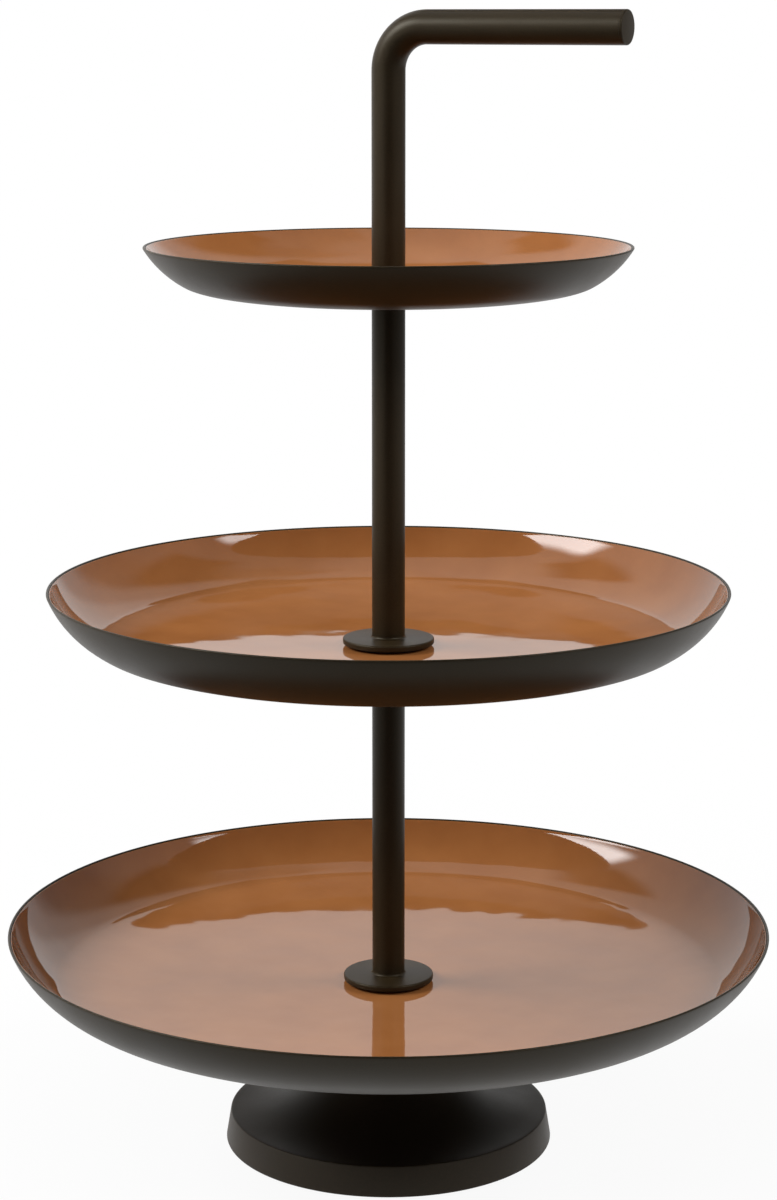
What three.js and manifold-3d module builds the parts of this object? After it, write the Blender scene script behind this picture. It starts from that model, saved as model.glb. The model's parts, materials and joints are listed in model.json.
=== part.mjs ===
// A three-tier etagere: three shallow spun dishes, enamelled inside, clamped one above another
// on a screwed column of two equal tubes, with a pedestal foot below and a bent handle on top.
// Millimetres, +Z up. The column stands on the origin and the handle's arm points along +X.
import * as THREE from "three";
import { mergeVertices } from "three/addons/utils/BufferGeometryUtils.js";
import Module from "manifold-3d";

// Column
const tubeRadius = 8;
const tubeWall = 1.5;
const tubeEdge = 0.5; // chamfer at the tubes' tops and round the handle's end
const tierPitch = 171; // from the underside of one dish to the underside of the next
const flangeRadius = 22.2;
const flangeThickness = 3;
const flangeEdge = 0.7;
const coveRadius = 1.4; // hollow round where the flange turns up into the tube
const spigotLength = 16; // the part of the flange that stands inside the tube
const plugLength = 14;

// Dishes
const bottomRimRadius = 187.5;
const middleRimRadius = 165;
const topRimRadius = 116;
const bottomDepth = 32;
const middleDepth = 31.5;
const topDepth = 24.5;
const wallArcRadius = 50; // the same round wall on all three dishes, at its outside
const dishWall = 1.2;
const enamelThickness = 0.4;
const bareLip = 1; // bare metal along the wall, above the enamel's edge
const dishHoleRadius = 4.5;

// Foot
const footHeight = 77.8;
const footRadius = 81.5;
const ridgeRadius = 79;
const bandHeight = 15;
const ridgeLand = 1.6; // flat top of the ridge
const footEdge = 0.8; // chamfer at the foot's bottom and along its ridge
const neckRadius = 27;
const neckHeight = 56; // where the neck is thinnest
const seatRadius = 34;
const seatThickness = 3;
const footWall = 2.5;
const hemWidth = 13; // turned in at the bottom, it carries the pads
const padRadius = 5;
const padThickness = 1.5;
const padCount = 4;

// Handle
const handleRise = 125.8; // from the top dish's underside to the middle of the arm
const armLength = 120.3; // from the column's axis to the end face
const bendRadius = 20; // at the tube's middle
const capThickness = 1.5;
const capSpigotLength = 6;

// Fasteners, M8 in every joint
const threadRadius = 4;
const threadEngagement = 9.5;
const headRadius = 6.5;
const headHeight = 8;
const socketSides = 6;
const socketWidth = 6; // across the flats
const socketDepth = 4;
const washerRadius = 8;
const washerThickness = 1.6;
const gasketThickness = 1;
const flangeGasketRadius = 19;
const footGasketRadius = 30;

// Clearances
const enamelGap = 0.05; // between the sheet and its enamel
const seatGap = 0.1; // between two faces that rest on each other
const fitGap = 0.2; // around a spigot in its tube
const threadGap = 0.25; // around a screw in its thread
const cutOverrun = 1; // how far a cutter runs past the face it opens

// Facets
const dishSides = 44;
const footSides = 36;
const flangeSides = 24;
const tubeSides = 20;
const padSides = 12;
const wallSteps = 5;
const lipSteps = 2;
const flareSteps = 7;
const flareInsideSteps = 4;
const coveSteps = 2;
const bendSteps = 6;
const handleSteps = bendSteps + 2; // the bend's own and one for each straight

const half = 0.5;
const fullTurn = Math.PI * 2;
const quarterTurn = Math.PI / 2;
const samePoint = 1e-6;

const tubeBore = tubeRadius - tubeWall;
const threadBore = threadRadius + threadGap;

// Heights above the underside of a dish: the stack that clamps it
const floorTop = dishWall + enamelGap + enamelThickness;
const gasketBottom = floorTop + seatGap;
const flangeBottom = gasketBottom + gasketThickness + seatGap;
const flangeTop = flangeBottom + flangeThickness;
const coveTop = flangeTop + coveRadius;
const tubeBottom = coveTop + seatGap;
const spigotTop = coveTop + spigotLength;
const seatGasketBottom = -seatGap - gasketThickness; // under the dish, on the tube or the foot
const tubeTop = seatGasketBottom - seatGap;

// Heights of the stages above the surface that the foot stands on
const footBottom = padThickness + seatGap;
const bottomTier = footBottom + footHeight - tubeTop;
const middleTier = bottomTier + tierPitch;
const topTier = middleTier + tierPitch;

const finishes = {
  bronze: { color: 0x3a342c, roughness: 0.5, metalness: 0.3 },
  castBronze: { color: 0x332d25, roughness: 0.6, metalness: 0.3 },
  enamel: { color: 0xb0744a, roughness: 0.08, metalness: 0 },
  steel: { color: 0xa7a8a9, roughness: 0.35, metalness: 1 },
  rubber: { color: 0x1d1c1b, roughness: 0.8, metalness: 0 },
};

function mesh(name, geometry, finish) {
  const made = new THREE.Mesh(geometry, new THREE.MeshStandardMaterial(finishes[finish]));
  made.name = name;
  return made;
}

// Points on an ellipse, or on a circle where both radii are the same
function arc(centreX, centreZ, radiusX, radiusZ, from, to, steps) {
  return Array.from({ length: steps + 1 }, (_, i) => {
    const angle = from + ((to - from) * i) / steps;
    return [centreX + radiusX * Math.cos(angle), centreZ + radiusZ * Math.sin(angle)];
  });
}

// Turns a closed outline of [radius, height] points round the Z axis. The outline runs
// anticlockwise, with the radius to the right, and closes on itself.
function turned(outline, sides) {
  const points = outline
    .filter(([r, z], i) => {
      const [lastR, lastZ] = outline.at(i - 1);
      return Math.hypot(r - lastR, z - lastZ) > samePoint;
    })
    .map(([r, z]) => new THREE.Vector2(r, z));
  points.push(points[0].clone());
  return new THREE.LatheGeometry(points, sides).rotateX(quarterTurn);
}

function ring(innerRadius, outerRadius, bottom, top, sides) {
  const outline = [
    [innerRadius, bottom],
    [outerRadius, bottom],
    [outerRadius, top],
    [innerRadius, top],
  ];
  return turned(outline, sides);
}

function rod(radius, bottom, top, sides) {
  const geometry = new THREE.CylinderGeometry(radius, radius, top - bottom, sides);
  return geometry.rotateX(quarterTurn).translate(0, 0, (top + bottom) * half);
}

// Booleans
const wasm = await Module();
wasm.setup();

function toSolid(geometry) {
  const bare = geometry.clone();
  bare.deleteAttribute("normal");
  bare.deleteAttribute("uv");
  const merged = mergeVertices(bare);
  const { array } = merged.attributes.position;
  const triVerts = new Uint32Array(merged.index.array);
  return new wasm.Manifold(new wasm.Mesh({ numProp: 3, vertProperties: array, triVerts }));
}

function toGeometry(solid) {
  const { vertProperties, triVerts } = solid.getMesh();
  const geometry = new THREE.BufferGeometry();
  geometry.setAttribute("position", new THREE.BufferAttribute(vertProperties, 3));
  geometry.setIndex(new THREE.BufferAttribute(triVerts, 1));
  return geometry;
}

// A dish's wall: a round stretch between the flat floor and the rim. The lip is rounded over
// the middle of the sheet, so the rim's height and radius are taken at the lip's outside.
// The enamel ends at the angle called edge, a little below the lip.
function wallOf({ rimRadius, depth }) {
  const lipRadius = dishWall * half;
  const middleRadius = wallArcRadius - lipRadius;
  const rise = Math.acos((wallArcRadius - (depth - lipRadius)) / middleRadius);
  const floorRadius = rimRadius - lipRadius - middleRadius * Math.sin(rise);
  const sheetRadius = wallArcRadius - dishWall;
  const edge = rise - bareLip / sheetRadius;
  return { rise, edge, floorRadius, sheetRadius, lipRadius, middleRadius };
}

function wallArc(floorRadius, radius, from, to) {
  return arc(floorRadius, wallArcRadius, radius, radius, from - quarterTurn, to - quarterTurn, wallSteps);
}

function dishShell(dish) {
  const { rise, edge, floorRadius, sheetRadius, lipRadius, middleRadius } = wallOf(dish);
  const lipX = floorRadius + middleRadius * Math.sin(rise);
  const lipZ = wallArcRadius - middleRadius * Math.cos(rise);
  const lipFrom = rise - quarterTurn;
  return turned(
    [
      [dishHoleRadius, 0],
      ...wallArc(floorRadius, wallArcRadius, 0, rise),
      ...arc(lipX, lipZ, lipRadius, lipRadius, lipFrom, lipFrom + Math.PI, lipSteps),
      ...wallArc(floorRadius, sheetRadius, edge, 0),
      [dishHoleRadius, dishWall],
    ],
    dishSides,
  );
}

// The enamel covers the sheet all over the inside and thins out to nothing below the lip.
function dishEnamel(dish) {
  const { edge, floorRadius, sheetRadius } = wallOf(dish);
  const backRadius = sheetRadius - enamelGap;
  const surfaceRadius = backRadius - enamelThickness;
  return turned(
    [
      [dishHoleRadius, wallArcRadius - backRadius],
      ...wallArc(floorRadius, backRadius, 0, edge),
      ...wallArc(floorRadius, surfaceRadius, edge - enamelThickness / backRadius, 0),
      [dishHoleRadius, floorTop],
    ],
    dishSides,
  );
}

function dishPieces(name, dish) {
  return [
    mesh(`${name}_dish`, dishShell(dish), "bronze"),
    mesh(`${name}_dish_enamel`, dishEnamel(dish), "enamel"),
  ];
}

// A turned flange: a disc that clamps the dish, a cove that leads up into the tube's side, and
// a threaded spigot inside the tube.
function flange() {
  const spigotRadius = tubeBore - fitGap;
  const coveX = tubeRadius + coveRadius;
  return turned(
    [
      [threadBore, flangeBottom],
      [flangeRadius - flangeEdge, flangeBottom],
      [flangeRadius, flangeBottom + flangeEdge],
      [flangeRadius, flangeTop - flangeEdge],
      [flangeRadius - flangeEdge, flangeTop],
      ...arc(coveX, coveTop, coveRadius, coveRadius, -quarterTurn, -Math.PI, coveSteps),
      [spigotRadius, coveTop],
      [spigotRadius, spigotTop],
      [threadBore, spigotTop],
    ],
    flangeSides,
  );
}

function flangeGasket() {
  return ring(dishHoleRadius, flangeGasketRadius, gasketBottom, gasketBottom + gasketThickness, flangeSides);
}

function seatGasket(radius, sides) {
  return ring(dishHoleRadius, radius, seatGasketBottom, seatGasketBottom + gasketThickness, sides);
}

// One length of the column, from the flange on its own dish to the seat of the dish above
function columnLength(name) {
  const top = tierPitch + tubeTop;
  const tube = turned(
    [
      [tubeBore, tubeBottom],
      [tubeRadius, tubeBottom],
      [tubeRadius, top - tubeEdge],
      [tubeRadius - tubeEdge, top],
      [tubeBore, top],
    ],
    tubeSides,
  );
  const plugBottom = top - plugLength;
  const studTop = tierPitch + flangeBottom + threadEngagement;
  const dishSeat = mesh(`${name}_seat_gasket`, seatGasket(tubeRadius - tubeEdge, tubeSides), "rubber");
  dishSeat.position.z = tierPitch;
  return [
    mesh(`${name}_gasket`, flangeGasket(), "rubber"),
    mesh(`${name}_flange`, flange(), "bronze"),
    mesh(`${name}_tube`, tube, "bronze"),
    mesh(`${name}_tube_plug`, ring(threadBore, tubeBore - fitGap, plugBottom, top, tubeSides), "steel"),
    mesh(`${name}_stud`, rod(threadRadius, plugBottom, studTop, tubeSides), "steel"),
    dishSeat,
  ];
}

// The handle's line: up the column's axis, round the bend and out along +X. It is spaced by
// stations, one for each straight and one for each step of the bend, so that rings lie where
// the bend starts and ends.
class HandleLine extends THREE.Curve {
  constructor(bottom, end) {
    super();
    this.bottom = bottom;
    this.end = end;
  }

  place(share) {
    const station = share * handleSteps;
    const turn = THREE.MathUtils.clamp((station - 1) / bendSteps, 0, 1) * quarterTurn;
    return { station, turn };
  }

  getPointAt(share) {
    const { station, turn } = this.place(share);
    const bendZ = handleRise - bendRadius;
    const point = new THREE.Vector3(
      bendRadius * (1 - Math.cos(turn)),
      0,
      bendZ + bendRadius * Math.sin(turn),
    );
    if (station < 1) point.z = THREE.MathUtils.lerp(this.bottom, bendZ, station);
    const past = station - 1 - bendSteps;
    if (past > 0) point.x = THREE.MathUtils.lerp(bendRadius, this.end, past);
    return point;
  }

  getTangentAt(share) {
    const { turn } = this.place(share);
    return new THREE.Vector3(Math.sin(turn), 0, Math.cos(turn));
  }
}

function handleTube() {
  const section = new THREE.Shape().absarc(0, 0, tubeRadius, 0, fullTurn);
  section.holes.push(new THREE.Path().absarc(0, 0, tubeBore, 0, fullTurn, true));
  return new THREE.ExtrudeGeometry(section, {
    steps: handleSteps,
    curveSegments: tubeSides * half,
    extrudePath: new HandleLine(tubeBottom, armLength - capThickness - seatGap),
  });
}

// A turned cap: a disc on the end of the tube, with a short spigot inside it
function handleCap() {
  const spigotRadius = tubeBore - fitGap;
  const outline = [
    [0, 0],
    [spigotRadius, 0],
    [spigotRadius, capSpigotLength],
    [tubeRadius, capSpigotLength],
    [tubeRadius, capSpigotLength + capThickness - tubeEdge],
    [tubeRadius - tubeEdge, capSpigotLength + capThickness],
    [0, capSpigotLength + capThickness],
  ];
  const points = outline.map(([r, z]) => new THREE.Vector2(r, z));
  const capStart = armLength - capThickness - capSpigotLength;
  return new THREE.LatheGeometry(points, tubeSides)
    .rotateZ(-quarterTurn)
    .translate(capStart, 0, handleRise);
}

function handlePieces() {
  return [
    mesh("handle_gasket", flangeGasket(), "rubber"),
    mesh("handle_flange", flange(), "bronze"),
    mesh("handle_tube", handleTube(), "bronze"),
    mesh("handle_end_cap", handleCap(), "bronze"),
  ];
}

// The foot is a hollow pedestal: a seat on a waisted neck, a trumpet flare down to a ridge,
// a slanting band, and a hem turned in underneath. Heights here are above its own bottom.
function footShell() {
  const flareEnd = ridgeRadius - footEdge - ridgeLand;
  const flareRun = flareEnd - neckRadius;
  const flareDrop = neckHeight - bandHeight;
  const seatBottom = footHeight - seatThickness;
  const seatCoveRun = seatRadius - neckRadius;
  const hemInner = footRadius - hemWidth;
  const insideNeck = neckRadius - footWall;
  const insideRun = flareRun + footWall;
  const insideDrop = flareDrop + footWall;
  const outside = [
    [hemInner, 0],
    [footRadius - footEdge, 0],
    [footRadius, footEdge],
    [ridgeRadius, bandHeight - footEdge],
    [ridgeRadius - footEdge, bandHeight],
    ...arc(flareEnd, neckHeight, flareRun, flareDrop, -quarterTurn, -Math.PI, flareSteps),
    ...arc(seatRadius, neckHeight, seatCoveRun, seatBottom - neckHeight, Math.PI, quarterTurn, coveSteps),
    [seatRadius, footHeight],
    [dishHoleRadius, footHeight],
  ];
  const inside = [
    [dishHoleRadius, seatBottom],
    [insideNeck, seatBottom],
    ...arc(flareEnd, neckHeight, insideRun, insideDrop, -Math.PI, -quarterTurn, flareInsideSteps),
    [ridgeRadius - footWall, bandHeight - footWall],
    [footRadius - footWall, footWall],
    [hemInner, footWall],
  ];
  return turned([...outside, ...inside], footSides);
}

// A socket head screw, upside down under the foot's seat. It runs up through the seat and
// the dish into the lowest flange. Heights are above the bottom dish's underside.
function footScrew() {
  const headTop = tubeTop - seatThickness - seatGap - washerThickness - seatGap;
  const headBottom = headTop - headHeight;
  const shank = toSolid(rod(threadRadius, headTop - cutOverrun, flangeBottom + threadEngagement, tubeSides));
  const head = toSolid(rod(headRadius, headBottom, headTop, tubeSides));
  const socketRadius = (socketWidth * half) / Math.cos(Math.PI / socketSides);
  const socketTop = headBottom + socketDepth;
  const socket = toSolid(rod(socketRadius, headBottom - cutOverrun, socketTop, socketSides));
  return toGeometry(head.add(shank).subtract(socket));
}

function footWasher() {
  const top = tubeTop - seatThickness - seatGap;
  return ring(threadBore, washerRadius, top - washerThickness, top, tubeSides);
}

function footPads() {
  const pitchRadius = footRadius - hemWidth * half;
  return Array.from({ length: padCount }, (_, i) => {
    const angle = ((i + half) / padCount) * fullTurn;
    const pad = mesh(`foot_pad_${i + 1}`, rod(padRadius, 0, padThickness, padSides), "rubber");
    pad.position.set(pitchRadius * Math.cos(angle), pitchRadius * Math.sin(angle), 0);
    return pad;
  });
}

function stage(height, ...pieces) {
  const group = new THREE.Group();
  group.position.z = height;
  group.add(...pieces.flat());
  return group;
}

const etagere = new THREE.Group();
etagere.add(
  stage(0, footPads()),
  stage(footBottom, mesh("base_foot", footShell(), "castBronze")),
  stage(
    bottomTier,
    mesh("base_screw", footScrew(), "steel"),
    mesh("base_washer", footWasher(), "steel"),
    mesh("base_gasket", seatGasket(footGasketRadius, flangeSides), "rubber"),
    dishPieces("bottom", { rimRadius: bottomRimRadius, depth: bottomDepth }),
    columnLength("lower"),
  ),
  stage(
    middleTier,
    dishPieces("middle", { rimRadius: middleRimRadius, depth: middleDepth }),
    columnLength("upper"),
  ),
  stage(topTier, dishPieces("top", { rimRadius: topRimRadius, depth: topDepth }), handlePieces()),
);

export default etagere;
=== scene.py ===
import json
import math

import bmesh
import bpy
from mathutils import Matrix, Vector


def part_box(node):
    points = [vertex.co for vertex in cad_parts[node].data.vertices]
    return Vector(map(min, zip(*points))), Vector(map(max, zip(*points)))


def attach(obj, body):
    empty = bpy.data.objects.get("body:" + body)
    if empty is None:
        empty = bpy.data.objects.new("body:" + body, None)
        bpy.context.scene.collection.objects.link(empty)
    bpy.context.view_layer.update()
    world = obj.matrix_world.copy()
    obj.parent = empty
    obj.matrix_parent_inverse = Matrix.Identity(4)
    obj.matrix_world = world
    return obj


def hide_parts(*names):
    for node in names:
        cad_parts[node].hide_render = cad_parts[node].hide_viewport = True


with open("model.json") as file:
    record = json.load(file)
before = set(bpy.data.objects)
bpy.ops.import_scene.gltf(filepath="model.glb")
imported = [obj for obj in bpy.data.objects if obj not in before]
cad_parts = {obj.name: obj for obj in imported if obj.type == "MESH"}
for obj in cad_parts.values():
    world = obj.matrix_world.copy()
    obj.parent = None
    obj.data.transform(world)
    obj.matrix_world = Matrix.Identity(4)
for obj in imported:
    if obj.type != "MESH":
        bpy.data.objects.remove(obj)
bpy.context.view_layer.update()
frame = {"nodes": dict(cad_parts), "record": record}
print("frame loaded:", len(frame["nodes"]), "nodes")

mm = 0.001
fullTurn = 2 * math.pi
quarterTurn = math.pi / 2
mergeDistance = 2e-6
roundSteps = 5  # in each rounded corner of an outline
smoothAngle = math.radians(32)  # edges sharper than this stay crisp

record = frame["record"]
bodyOf = {node: body for body, nodes in record["behaviour"]["bodies"].items() for node in nodes}
slotOf = {part["node"]: part["material_slot"] for part in record["subparts"]}

# The undersides of the dishes, in metres. The heights of the column, handle and screw are
# millimetres above the underside of their dish, and those of the foot above its own.
tierOf = {name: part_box(f"{name}_dish")[0].z for name in ("bottom", "middle", "top")}


# Node trees

def addNode(tree, kind, inputs=None, **settings):
    node = tree.nodes.new(kind)
    for name, value in settings.items():
        setattr(node, name, value)
    for key, value in (inputs or {}).items():
        if isinstance(value, bpy.types.NodeSocket):
            tree.links.new(value, node.inputs[key])
        else:
            node.inputs[key].default_value = value
    return node


def maths(tree, operation, *values):
    node = addNode(tree, "ShaderNodeMath", dict(enumerate(values)), operation=operation)
    return node.outputs[0]


def startForm(name, sizes, takesPath=False):
    tree = bpy.data.node_groups.new(name, "GeometryNodeTree")
    if takesPath:
        tree.interface.new_socket("Path", in_out="INPUT", socket_type="NodeSocketGeometry")
    for label, kind in sizes.items():
        tree.interface.new_socket(label, in_out="INPUT", socket_type=f"NodeSocket{kind}")
    tree.interface.new_socket("Material", in_out="INPUT", socket_type="NodeSocketMaterial")
    tree.interface.new_socket("Geometry", in_out="OUTPUT", socket_type="NodeSocketGeometry")
    return tree, tree.nodes.new("NodeGroupInput").outputs


def endForm(tree, geometry, material):
    real = addNode(tree, "GeometryNodeRealizeInstances", {"Geometry": geometry})
    painted = addNode(
        tree, "GeometryNodeSetMaterial", {"Geometry": real.outputs[0], "Material": material}
    )
    addNode(tree, "NodeGroupOutput", {"Geometry": painted.outputs[0]})
    return tree


def growForm(tree, name, values, path=None):
    holder = linkMesh(name, path or bpy.data.meshes.new(name))
    modifier = holder.modifiers.new("form", "NODES")
    modifier.node_group = tree
    for item in tree.interface.items_tree:
        if item.in_out == "INPUT" and item.name in values:
            modifier[item.identifier] = values[item.name]
    return tidyMesh(finishedMesh(holder))


# Meshes

def linkMesh(name, mesh):
    piece = bpy.data.objects.new(name, mesh)
    bpy.context.scene.collection.objects.link(piece)
    return piece


# Takes the shape that a holder's modifiers make, and clears the holder away.
def finishedMesh(holder):
    depsgraph = bpy.context.evaluated_depsgraph_get()
    mesh = bpy.data.meshes.new_from_object(holder.evaluated_get(depsgraph))
    holder.modifiers.clear()
    bpy.data.objects.remove(holder)
    return mesh


def smoothed(mesh):
    mesh.polygons.foreach_set("use_smooth", [True] * len(mesh.polygons))
    mesh.set_sharp_from_angle(angle=smoothAngle)
    return mesh


def tidyMesh(mesh):
    work = bmesh.new()
    work.from_mesh(mesh)
    bmesh.ops.remove_doubles(work, verts=work.verts, dist=mergeDistance)
    bmesh.ops.recalc_face_normals(work, faces=work.faces)
    work.to_mesh(mesh)
    work.free()
    return smoothed(mesh)


def arcPoints(centreR, centreZ, radiusR, radiusZ, start, end, steps):
    points = []
    for step in range(steps + 1):
        angle = start + (end - start) * step / steps
        points.append((centreR + radiusR * math.cos(angle), centreZ + radiusZ * math.sin(angle)))
    return points


# Rounds the corners of a closed outline. A point is (radius, height) or, where its corner is
# rounded, (radius, height, rounding).
def softened(outline):
    points = []
    for index, corner in enumerate(outline):
        here = corner[:2]
        if len(corner) == 2:
            points.append(here)
            continue
        before = outline[index - 1][:2]
        after = outline[(index + 1) % len(outline)][:2]
        toBefore = [(a - b) / math.dist(before, here) for a, b in zip(before, here)]
        toAfter = [(a - b) / math.dist(after, here) for a, b in zip(after, here)]
        opening = math.acos(sum(a * b for a, b in zip(toBefore, toAfter)))
        middle = [a + b for a, b in zip(toBefore, toAfter)]
        away = corner[2] / math.sin(opening / 2) / math.hypot(*middle)
        centre = [p + m * away for p, m in zip(here, middle)]
        inward = toBefore[0] * toAfter[1] - toBefore[1] * toAfter[0]
        sign = 1 if inward < 0 else -1
        start = math.atan2(sign * toBefore[0], -sign * toBefore[1])
        sweep = sign * (math.pi - opening)
        points += arcPoints(*centre, corner[2], corner[2], start, start + sweep, roundSteps)
    return points


# Turns a closed outline in millimetres round the column's axis.
def turnedMesh(name, outline, bottom=0.0, segments=128):
    work = bmesh.new()
    rings = []
    for radius, height in outline:
        z = bottom + height * mm
        if radius < mergeDistance:
            rings.append([work.verts.new((0, 0, z))])
            continue
        ring = []
        for step in range(segments):
            angle = fullTurn * step / segments
            x = radius * mm * math.cos(angle)
            y = radius * mm * math.sin(angle)
            ring.append(work.verts.new((x, y, z)))
        rings.append(ring)
    for lower, upper in zip(rings, rings[1:] + rings[:1]):
        if len(lower) == 1 and len(upper) == 1:
            continue
        for step in range(segments):
            after = (step + 1) % segments
            corners = [lower[step % len(lower)], lower[after % len(lower)]]
            corners += [upper[after % len(upper)], upper[step % len(upper)]]
            work.faces.new(list(dict.fromkeys(corners)))
    mesh = bpy.data.meshes.new(name)
    work.to_mesh(mesh)
    work.free()
    return tidyMesh(mesh)


def ringOutline(innerRadius, outerRadius, bottom, top, rounding):
    return softened(
        [
            (innerRadius, bottom, rounding),
            (outerRadius, bottom, rounding),
            (outerRadius, top, rounding),
            (innerRadius, top, rounding),
        ]
    )


def joinedMesh(name, meshes):
    work = bmesh.new()
    for mesh in meshes:
        work.from_mesh(mesh)
    joined = bpy.data.meshes.new(name)
    work.to_mesh(joined)
    work.free()
    return smoothed(joined)


# A piece stands for its node, rides on the node's body and has the finish of its slot.
def settle(node, mesh):
    first, *others = node.split("_")
    name = first + "".join(word.capitalize() for word in others)
    mesh.name = name
    mesh.materials.clear()
    mesh.materials.append(finishes[slotOf[node]])
    piece = linkMesh(name, mesh)
    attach(piece, bodyOf[node])
    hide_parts(node)
    return piece


# Finishes

bronze = {
    "dark": (0.0135, 0.0084, 0.0033, 1),
    "light": (0.0245, 0.0160, 0.0070, 1),
    "grainScale": 1500,
    "grainDepth": 0.000012,
    "cloudScale": 26,
    "roughness": (0.34, 0.46),
    "metallic": 0.0,
    "specular": 0.22,
    "specularTint": (1, 0.96, 0.8, 1),
}
footBronze = {
    **bronze,
    "dark": (0.012, 0.0070, 0.0037, 1),
    "light": (0.021, 0.0125, 0.0070, 1),
    "grainScale": 1100,
    "roughness": (0.42, 0.56),
    "specular": 0.27,
}
enamel = {
    "deep": (0.325, 0.121, 0.036, 1),
    "pale": (0.37, 0.144, 0.045, 1),
    "mottleScale": 38,
    "mottleDetail": 3,
    "roughness": 0.035,
    "ior": 1.5,
    "waveScale": 72,
    "waveDetail": 0,
    "waveHeight": 0.00008,
    "swellScale": 11,
    "swellDetail": 1,
    "swellHeight": 0.00006,
}
steel = {
    "dark": (0.30, 0.30, 0.29, 1),
    "light": (0.48, 0.48, 0.47, 1),
    "grainScale": 900,
    "grainDepth": 0.00001,
    "cloudScale": 120,
    "roughness": (0.28, 0.42),
    "metallic": 1.0,
    "specular": 0.5,
    "specularTint": (1, 1, 1, 1),
}
rubber = {
    "dark": (0.010, 0.0095, 0.009, 1),
    "light": (0.020, 0.019, 0.018, 1),
    "grainScale": 1300,
    "grainDepth": 0.00003,
    "cloudScale": 60,
    "roughness": (0.7, 0.85),
    "metallic": 0.0,
    "specular": 0.3,
    "specularTint": (1, 1, 1, 1),
}


# How the grainy finishes mix their two patterns
speckle = {
    "grainDetail": 3,
    "grainRoughness": 0.6,
    "cloudDetail": 4,
    "cloudRoughness": 0.55,
    "grainInTone": 0.7,  # the grain's share of the colour, the clouds have the rest
    "grainInGloss": 0.4,
}


def startMaterial(name):
    material = bpy.data.materials.new(name)
    material.use_nodes = True
    tree = material.node_tree
    tree.nodes.clear()
    place = addNode(tree, "ShaderNodeTexCoord").outputs["Object"]
    return material, tree, place


def endMaterial(tree, shader):
    addNode(tree, "ShaderNodeOutputMaterial", {"Surface": shader.outputs[0]})


def noise(tree, place, scale, detail, roughness=0.5):
    inputs = {"Vector": place, "Scale": scale, "Detail": detail, "Roughness": roughness}
    return addNode(tree, "ShaderNodeTexNoise", inputs).outputs[0]


def spread(tree, value, low, high, fromLow=0.3, fromHigh=0.7):
    inputs = {
        "Value": value,
        "From Min": fromLow,
        "From Max": fromHigh,
        "To Min": low,
        "To Max": high,
    }
    return addNode(tree, "ShaderNodeMapRange", inputs).outputs[0]


def mixed(tree, grain, cloud, share):
    rest = maths(tree, "MULTIPLY", cloud, 1 - share)
    return maths(tree, "MULTIPLY_ADD", grain, share, rest)


def blended(tree, factor, dark, light):
    inputs = {"Factor": factor, 6: dark, 7: light}
    return addNode(tree, "ShaderNodeMix", inputs, data_type="RGBA").outputs[2]


# A fine speckle over slow clouds, both in colour and in gloss
def grainyFinish(name, look):
    material, tree, place = startMaterial(name)
    grain = noise(
        tree, place, look["grainScale"], speckle["grainDetail"], speckle["grainRoughness"]
    )
    cloud = noise(
        tree, place, look["cloudScale"], speckle["cloudDetail"], speckle["cloudRoughness"]
    )
    tone = mixed(tree, grain, cloud, speckle["grainInTone"])
    gloss = mixed(tree, grain, cloud, speckle["grainInGloss"])
    bump = addNode(
        tree, "ShaderNodeBump", {"Height": grain, "Distance": look["grainDepth"], "Strength": 1.0}
    )
    shader = addNode(
        tree,
        "ShaderNodeBsdfPrincipled",
        {
            "Base Color": blended(tree, spread(tree, tone, 0, 1), look["dark"], look["light"]),
            "Roughness": spread(tree, gloss, *look["roughness"]),
            "Metallic": look["metallic"],
            "Specular IOR Level": look["specular"],
            "Specular Tint": look["specularTint"],
            "Normal": bump.outputs[0],
        },
    )
    endMaterial(tree, shader)
    return material


# Poured enamel: faintly mottled, with slow swells and shorter waves that bend its reflections
def enamelFinish(name, look):
    material, tree, place = startMaterial(name)
    mottle = noise(tree, place, look["mottleScale"], look["mottleDetail"])
    swell = noise(tree, place, look["swellScale"], look["swellDetail"])
    wave = noise(tree, place, look["waveScale"], look["waveDetail"])
    swelled = maths(tree, "MULTIPLY", swell, look["swellHeight"])
    height = maths(tree, "MULTIPLY_ADD", wave, look["waveHeight"], swelled)
    bump = addNode(tree, "ShaderNodeBump", {"Height": height, "Distance": 1.0, "Strength": 1.0})
    shader = addNode(
        tree,
        "ShaderNodeBsdfPrincipled",
        {
            "Base Color": blended(tree, spread(tree, mottle, 0, 1), look["deep"], look["pale"]),
            "Roughness": look["roughness"],
            "IOR": look["ior"],
            "Normal": bump.outputs[0],
        },
    )
    endMaterial(tree, shader)
    return material


finishes = {
    "bronze": grainyFinish("darkBronze", bronze),
    "foot_bronze": grainyFinish("footBronze", footBronze),
    "enamel": enamelFinish("caramelEnamel", enamel),
    "steel": grainyFinish("zincedSteel", steel),
    "rubber": grainyFinish("blackRubber", rubber),
}
print("finishes made:", len(finishes))


# Dishes: a sheet whose flat floor runs out into a round wall with a rounded lip, and its enamel

dishes = {
    "bottom": {"rimRadius": 187.5, "depth": 32},
    "middle": {"rimRadius": 165, "depth": 31.5},
    "top": {"rimRadius": 116, "depth": 24.5},
}
dishSheet = {
    "arcRadius": 50,  # of the round wall, at its outside
    "thickness": 1.2,
    "holeRadius": 4.5,
    "flatRadius": 36,  # beyond this the floor starts to rise
    "blendAngle": 29,  # the slope in degrees where it has become the round wall
    "floorSpacing": 4,
    "blendSteps": 32,
    "wallSteps": 29,
    "lipSteps": 9,
    "segments": 192,
}
dishCoat = {
    "gap": 0.05,
    "thickness": 0.4,
    "bareLip": 0.4,  # bare metal above the enamel's edge
}


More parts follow.
